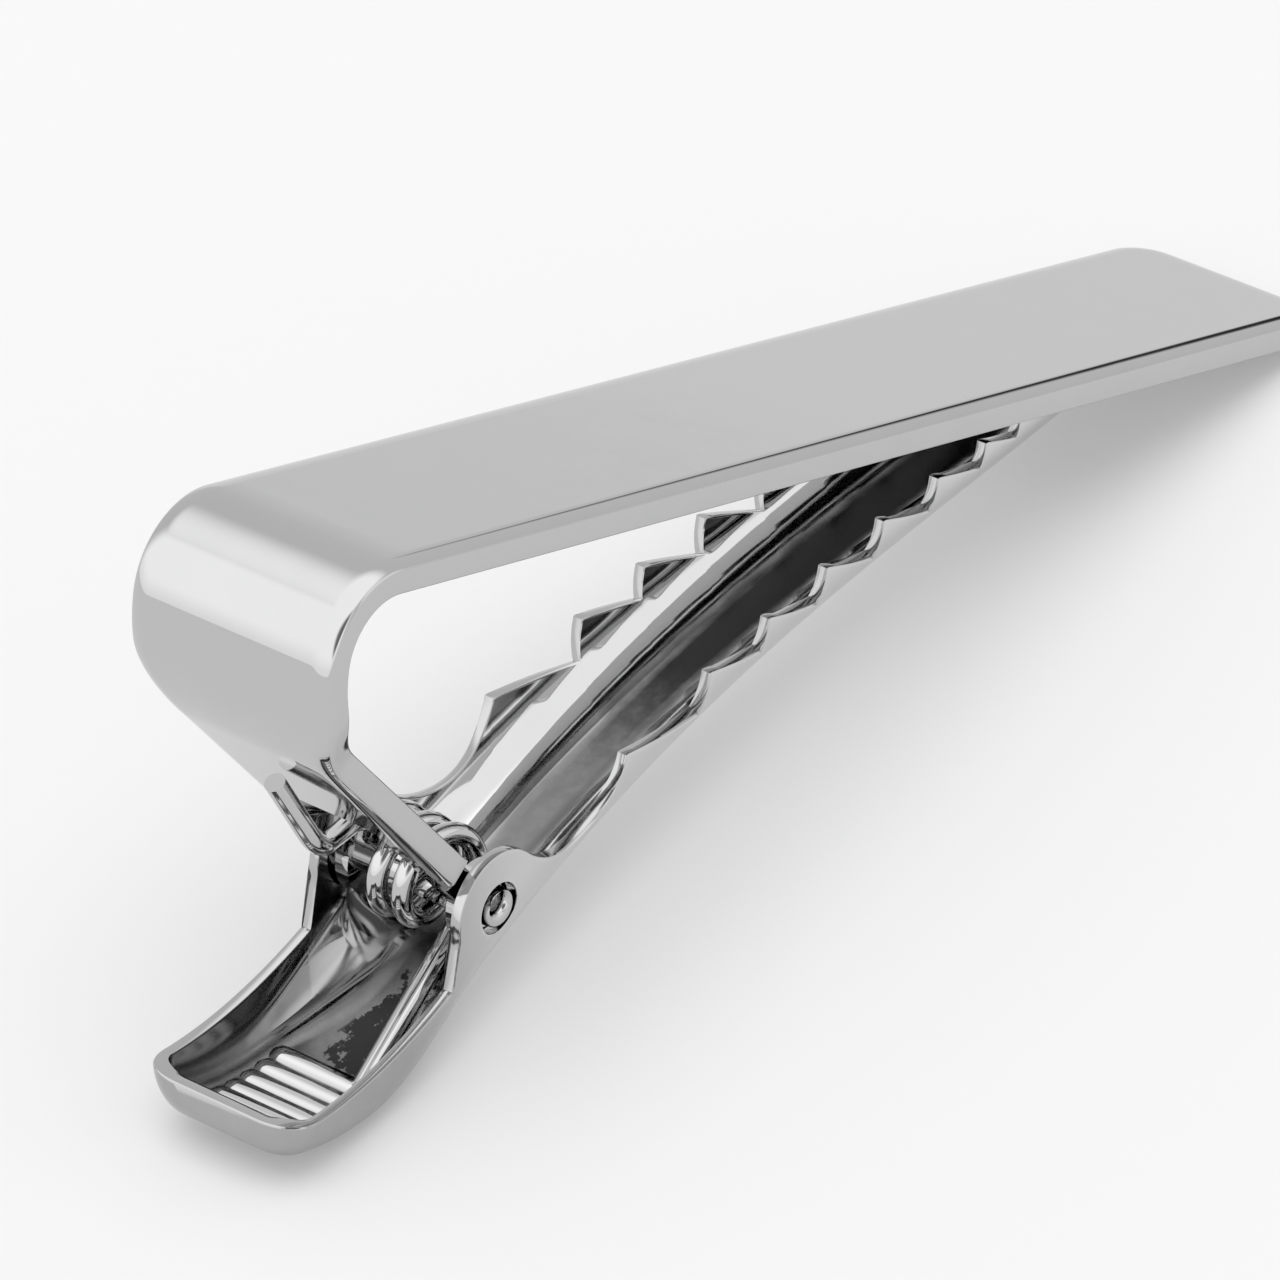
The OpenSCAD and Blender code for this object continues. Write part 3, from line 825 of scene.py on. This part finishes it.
# The jaw's plating gets rougher patches, painted shade and a painted dark reflection
jaw.data.materials.clear()
jaw.data.materials.append(chrome("jaw_chrome_plate", JAW_TONE, JAW_WAVES, JAW_WAVE_SCALE, plate_wear_and_painted_shade))
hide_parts("jaw")
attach(jaw, "jaw")

# Spring: one torsion spring of hard chromed wire, wound round the pin. One leg comes up through the
# tail's notch, bends and presses on the tail, and the other lies along the near wall of the tab.
WIRE_R = 0.26
COIL_R = 1.1
COIL_TURNS = 2
COIL_CLEAR = 0.32
COIL_SLACK = Vector((-0.6, 0, 0.65))
LEG_CLEAR = 0.05
TAIL_LEG_AT = 1.3
TAIL_BEND_AT = 0.5 * TAIL_LEN
TAIL_BEND_LIFT = 3 * WIRE_R
TAIL_RUN = 1.5 * COIL_R
LEG_BEND = 0.7
TAB_LEG_AT = 3.3
CORNER_LIE = radians(45)
COIL_STEPS = 130
BEND_STEPS = 10
WIRE_ROUNDNESS = 6
WIRE_CREASE = radians(50)

coil_at = hinge + (COIL_R - WIRE_R - PIN_R) * COIL_SLACK
coil_half = NOTCH_Y - COIL_CLEAR - WIRE_R
tail_leg_end = tail_start + TAIL_LEG_AT * tail_dir - (WIRE_R + LEG_CLEAR) * tail_in
tail_leg_bend = tail_start + TAIL_BEND_AT * tail_dir - TAIL_BEND_LIFT * tail_in
corner_r = channel_edge_r(-TAB_LEG_AT)
lie_r = corner_r - SHEET_T - WIRE_R - LEG_CLEAR
lie_y = channel_half_w(-TAB_LEG_AT) - corner_r + lie_r * cos(CORNER_LIE)
lie_z = floor_z(-TAB_LEG_AT) + (corner_r - lie_r * sin(CORNER_LIE)) * stretch(-TAB_LEG_AT)
tab_leg_end = hinge + Vector((-TAB_LEG_AT, -lie_y, lie_z))


def touch_angle(point, side):
    """Angle on the coil where a straight leg to a point touches it."""
    d = point - coil_at
    return atan2(d.z, d.x) + side * acos(COIL_R / hypot(d.x, d.z))


first_angle = touch_angle(tail_leg_bend, -1)
last_angle = touch_angle(tab_leg_end, 1)
sweep = 2 * pi * COIL_TURNS + first_angle - last_angle


def on_coil(t):
    a = first_angle - sweep * t
    return Vector((coil_at.x + COIL_R * cos(a), coil_half * (1 - 2 * t), coil_at.z + COIL_R * sin(a)))


def bend_points(a, b, c):
    """A short curve round the corner b between two straight runs."""
    p = b + LEG_BEND * (a - b).normalized()
    q = b + LEG_BEND * (c - b).normalized()
    shares = [i / BEND_STEPS for i in range(BEND_STEPS + 1)]
    return [mix(mix(p, b, t), mix(b, q, t), t) for t in shares]


run_end = on_coil(0) + TAIL_RUN * Vector((-sin(first_angle), 0, cos(first_angle)))
wire = [tail_leg_end] + bend_points(tail_leg_end, tail_leg_bend, run_end) + [run_end]
wire += [on_coil(i / COIL_STEPS) for i in range(COIL_STEPS + 1)] + [tab_leg_end]
curve = bpy.data.curves.new("spring_path", "CURVE")
curve.dimensions = "3D"
curve.bevel_depth = WIRE_R
curve.bevel_resolution = WIRE_ROUNDNESS
curve.use_fill_caps = True
spline = curve.splines.new("POLY")
spline.points.add(len(wire) - 1)
for point, place in zip(spline.points, wire):
    point.co = (*place, 1)
path_object = bpy.data.objects.new("spring_path", curve)
bpy.context.scene.collection.objects.link(path_object)
depsgraph = bpy.context.evaluated_depsgraph_get()
bm = bmesh.new()
bm.from_mesh(bpy.data.meshes.new_from_object(path_object.evaluated_get(depsgraph)))
bpy.data.objects.remove(path_object)
bmesh.ops.remove_doubles(bm, verts=bm.verts[:], dist=MERGE)
bmesh.ops.recalc_face_normals(bm, faces=bm.faces[:])
spring = make_object("spring_wire", bm, stand)
spring.data.set_sharp_from_angle(angle=WIRE_CREASE)
spring.data.materials.append(chrome("spring_wire_plate", SMALL_TONE, SMALL_WAVES, SMALL_WAVE_SCALE))
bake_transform(spring)
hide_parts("spring")

# Camera: it looks down along the clip from the near side, far beyond the folded end, through a very
# long lens. Its place, in millimetres, and its directions were fitted to the clip's edges.
CAMERA_PLACE = Vector((-188.64, -151.85, 86.51))
CAMERA_AHEAD = Vector((0.7542, 0.5618, -0.3400))
CAMERA_UPWARD = Vector((0.1813, 0.3195, 0.9301))
PICTURE = 1280
FOCUS = 11586.9
FILM = 36
NEAREST = 0.01
FARTHEST = 10

camera_data = bpy.data.cameras.new("camera")
camera = bpy.data.objects.new("camera", camera_data)
bpy.context.scene.collection.objects.link(camera)
ahead = turn @ CAMERA_AHEAD
sideways = ahead.cross(turn @ CAMERA_UPWARD).normalized()
upward = sideways.cross(ahead).normalized()
facing = Matrix((sideways, upward, -ahead.normalized())).transposed()
camera.matrix_world = Matrix.Translation(stand @ CAMERA_PLACE) @ facing.to_4x4()
camera_data.sensor_width = FILM
camera_data.lens = FILM * FOCUS / PICTURE
camera_data.clip_start = NEAREST
camera_data.clip_end = FARTHEST
bpy.context.scene.camera = camera

# Floor: a wide round sheet of white paper, on which the clip stands. It keeps the clip's shadow, and
# a share of its white is a plain glow, one for the camera and a dimmer one for polished metal.
FLOOR_R = 1.5
FLOOR_SIDES = 96
WHITE = 0.913
PAPER = 0.84
DIM_GLOW = 0.75
SEEN_SHARE = 0.2
MIRRORED_SHARE = 0.3

bm = bmesh.new()
bmesh.ops.create_circle(bm, cap_ends=True, segments=FLOOR_SIDES, radius=FLOOR_R)
floor = make_object("floor", bm, Matrix.Identity(4))
material = bpy.data.materials.new("floor_paper")
tree = Tree(material)
seen = tree.add("ShaderNodeLightPath", output="Is Camera Ray")
mirrored = tree.add("ShaderNodeLightPath", output="Is Glossy Ray")
paper = tree.add("ShaderNodeBsdfDiffuse", None, {"Color": grey(PAPER)})
glow = tree.add("ShaderNodeEmission", None, {"Color": grey(WHITE), "Strength": 1.0})
dim_glow = tree.add("ShaderNodeEmission", None, {"Color": grey(WHITE), "Strength": DIM_GLOW})
lit = tree.add("ShaderNodeMixShader", None, {0: seen * SEEN_SHARE, 1: paper, 2: glow})
shader = tree.add("ShaderNodeMixShader", None, {0: mirrored * MIRRORED_SHARE, 1: lit, 2: dim_glow})
tree.add("ShaderNodeOutputMaterial", None, {"Surface": shader})
floor.data.materials.append(material)

# Sun: one very broad and soft lamp, nearly overhead, that casts the clip's shadow on the paper. The
# plating doesn't mirror it.
SUN_POWER = 1.2
SUN_WIDTH = radians(56)
SUN_FROM = Vector((-0.05, -0.08, 1.0))

sun_data = bpy.data.lights.new("soft_sun", "SUN")
sun_data.energy = SUN_POWER
sun_data.angle = SUN_WIDTH
sun = bpy.data.objects.new("soft_sun", sun_data)
sun.visible_glossy = False
sun.rotation_euler = SUN_FROM.to_track_quat("Z", "Y").to_euler()
bpy.context.scene.collection.objects.link(sun)

# Tent: the white cloth round the table that the plating mirrors, brighter overhead and to the left,
# with a white card to the right in front, a dark panel to the right behind, and a dark gap above the
# camera. Each pair says where a patch begins and where it is full, as a part of the direction.
TENT = 0.75
BRIGHT = 0.68
TOP = (0.62, 0.86)
LEFT = (-0.05, 0.3)
LEFT_UP = (-0.1, 0.35, 0.55, 1.0)
TABLE_GLOW = 0.08
TABLE_TO = (0.008, 0.03)
CARD = 1.1
CARD_NEAR = (0.42, 0.56)
CARD_RIGHT = (0.12, 0.3)
CARD_UP = (0.04, 0.16)
PANEL_DARK = 0.95
PANEL_FROM = (0.33, 0.38)
PANEL_TO = (0.47, 0.51)
PANEL_RIGHT = (0.5, 0.6)
PANEL_FOOT = (0.0, 0.02)
PANEL_TOP = (0.1, 0.17)
GAP_DARK = 0.85
GAP_AT = (-0.557, -0.562, 0.612)
GAP_EDGE = (0.86, 0.97)
EVEN = 0.74

world = bpy.data.worlds.new("tent")
bpy.context.scene.world = world
tree = Tree(world)
direction = tree.add("ShaderNodeTexCoord", output="Generated")
parts = tree.add("ShaderNodeSeparateXYZ", None, {0: direction}).link.node.outputs
x, y, z = (Value(tree, part) for part in parts)
top = z.between(*TOP)
left = (0 - x).between(*LEFT) * z.between(*LEFT_UP)
light = TENT + BRIGHT * top.math("MAXIMUM", left)
light = light + TABLE_GLOW * (1 - z.between(*TABLE_TO)) * (1 - left)
card = (0 - y).between(*CARD_NEAR) * x.between(*CARD_RIGHT) * z.between(*CARD_UP)
light = light + (CARD - light) * card
panel = y.between(*PANEL_FROM) * (1 - y.between(*PANEL_TO)) * x.between(*PANEL_RIGHT)
panel = panel * z.between(*PANEL_FOOT) * (1 - z.between(*PANEL_TOP))
light = light * (1 - PANEL_DARK * panel)
gap = GAP_AT[0] * x + GAP_AT[1] * y + GAP_AT[2] * z
light = light * (1 - GAP_DARK * gap.between(*GAP_EDGE))
seen = tree.add("ShaderNodeLightPath", output="Is Camera Ray")
even = tree.add("ShaderNodeLightPath", output="Is Diffuse Ray")
level = (light * (1 - even) + EVEN * even) * (1 - seen) + WHITE * seen
background = tree.add("ShaderNodeBackground", None, {"Color": level, "Strength": 1.0})
tree.add("ShaderNodeOutputWorld", None, {"Surface": background})

bpy.context.scene.view_settings.view_transform = "Standard"
